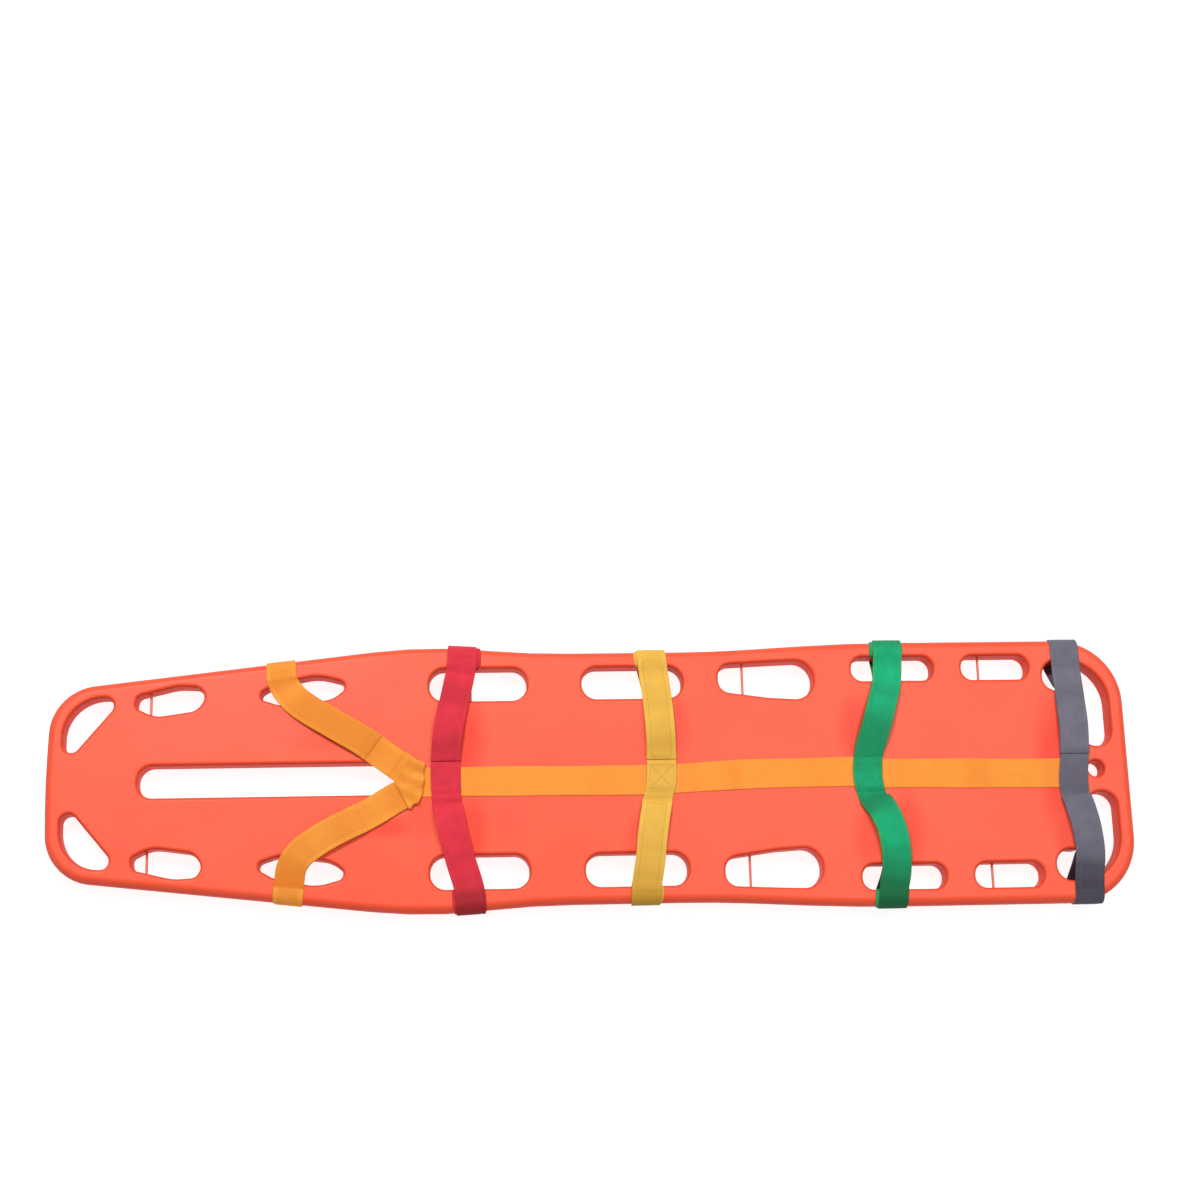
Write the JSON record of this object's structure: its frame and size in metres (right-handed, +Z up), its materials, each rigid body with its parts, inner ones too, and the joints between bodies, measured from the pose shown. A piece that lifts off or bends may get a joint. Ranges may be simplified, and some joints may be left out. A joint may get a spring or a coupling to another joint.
{
  "type": "spine board",
  "caption": "Long orange moulded spine board with hand holes along both sides and a ten-point set of coloured hook-and-loop webbing straps wrapped round its rails.",
  "frame": {"origin": "on the floor under the middle of the board, at the underside of the runners", "axes": "+X towards the feet, +Y towards the left side of a patient lying on the board, +Z up"},
  "size_m": [1.84, 0.4584, 0.0603],
  "materials": {
    "shell": "semi-gloss moulded polyethylene",
    "core": "rigid foam",
    "pin": "moulded nylon",
    "hook": "hook tape",
    "web_shoulder": "woven webbing",
    "web_chest": "woven webbing",
    "web_hip": "woven webbing",
    "web_thigh": "woven webbing",
    "web_ankle": "woven webbing"
  },
  "bodies": {
    "board": {"board_shell": "shell", "foam_core": "core", "fill_plug": "pin", "foot_pin_left": "pin", "foot_pin_right": "pin", "knee_pin_left": "pin", "knee_pin_right": "pin", "chest_pin_left": "pin", "chest_pin_right": "pin", "head_pin_left": "pin", "head_pin_right": "pin", "spine_strap": "web_shoulder", "shoulder_strap_left": "web_shoulder", "shoulder_strap_right": "web_shoulder", "chest_strap": "web_chest", "hip_strap": "web_hip", "thigh_strap": "web_thigh", "ankle_strap": "web_ankle", "shoulder_loop_left": "web_shoulder", "shoulder_loop_right": "web_shoulder", "chest_loop_left": "web_chest", "chest_loop_right": "web_chest", "hip_loop_left": "web_hip", "hip_loop_right": "web_hip", "thigh_loop_left": "web_thigh", "thigh_loop_right": "web_thigh", "ankle_loop_left": "web_ankle", "ankle_loop_right": "web_ankle"},
    "shoulder_flap_left": {"shoulder_tail_left": "web_shoulder", "shoulder_hook_left": "hook"},
    "shoulder_flap_right": {"shoulder_tail_right": "web_shoulder", "shoulder_hook_right": "hook"},
    "chest_flap_left": {"chest_tail_left": "web_chest", "chest_hook_left": "hook"},
    "chest_flap_right": {"chest_tail_right": "web_chest", "chest_hook_right": "hook"},
    "hip_flap_left": {"hip_tail_left": "web_hip", "hip_hook_left": "hook"},
    "hip_flap_right": {"hip_tail_right": "web_hip", "hip_hook_right": "hook"},
    "thigh_flap_left": {"thigh_tail_left": "web_thigh", "thigh_hook_left": "hook"},
    "thigh_flap_right": {"thigh_tail_right": "web_thigh", "thigh_hook_right": "hook"},
    "ankle_flap_left": {"ankle_tail_left": "web_ankle", "ankle_hook_left": "hook"},
    "ankle_flap_right": {"ankle_tail_right": "web_ankle", "ankle_hook_right": "hook"}
  },
  "joints": [
    {"name": "shoulder_peel_left", "type": "hinge", "parent": "board", "child": "shoulder_flap_left", "pos_m": [-0.533, 0.2032, 0.05535], "axis": [-0.9935, -0.1142, 0], "range_deg": [0, 180]},
    {"name": "shoulder_peel_right", "type": "hinge", "parent": "board", "child": "shoulder_flap_right", "pos_m": [-0.517, -0.2052, 0.05535], "axis": [0.9935, -0.1142, 0], "range_deg": [0, 180]},
    {"name": "chest_peel_left", "type": "hinge", "parent": "board", "child": "chest_flap_left", "pos_m": [-0.225, 0.2252, 0.05535], "axis": [-0.9982, 0.0599, 0], "range_deg": [0, 180]},
    {"name": "chest_peel_right", "type": "hinge", "parent": "board", "child": "chest_flap_right", "pos_m": [-0.214, -0.2252, 0.05535], "axis": [0.9982, 0.0599, 0], "range_deg": [0, 180]},
    {"name": "hip_peel_left", "type": "hinge", "parent": "board", "child": "hip_flap_left", "pos_m": [0.098, 0.2152, 0.05535], "axis": [-1, 0, 0], "range_deg": [0, 180]},
    {"name": "hip_peel_right", "type": "hinge", "parent": "board", "child": "hip_flap_right", "pos_m": [0.077, -0.2152, 0.05535], "axis": [1, 0, 0], "range_deg": [0, 180]},
    {"name": "thigh_peel_left", "type": "hinge", "parent": "board", "child": "thigh_flap_left", "pos_m": [0.51, 0.2282, 0.05535], "axis": [-1, 0, 0], "range_deg": [0, 180]},
    {"name": "thigh_peel_right", "type": "hinge", "parent": "board", "child": "thigh_flap_right", "pos_m": [0.494, -0.2282, 0.05535], "axis": [1, 0, 0], "range_deg": [0, 180]},
    {"name": "ankle_peel_left", "type": "hinge", "parent": "board", "child": "ankle_flap_left", "pos_m": [0.82, 0.2282, 0.05535], "axis": [-1, 0, 0], "range_deg": [0, 180]},
    {"name": "ankle_peel_right", "type": "hinge", "parent": "board", "child": "ankle_flap_right", "pos_m": [0.831, -0.2282, 0.05535], "axis": [1, 0, 0], "range_deg": [0, 180]}
  ]
}
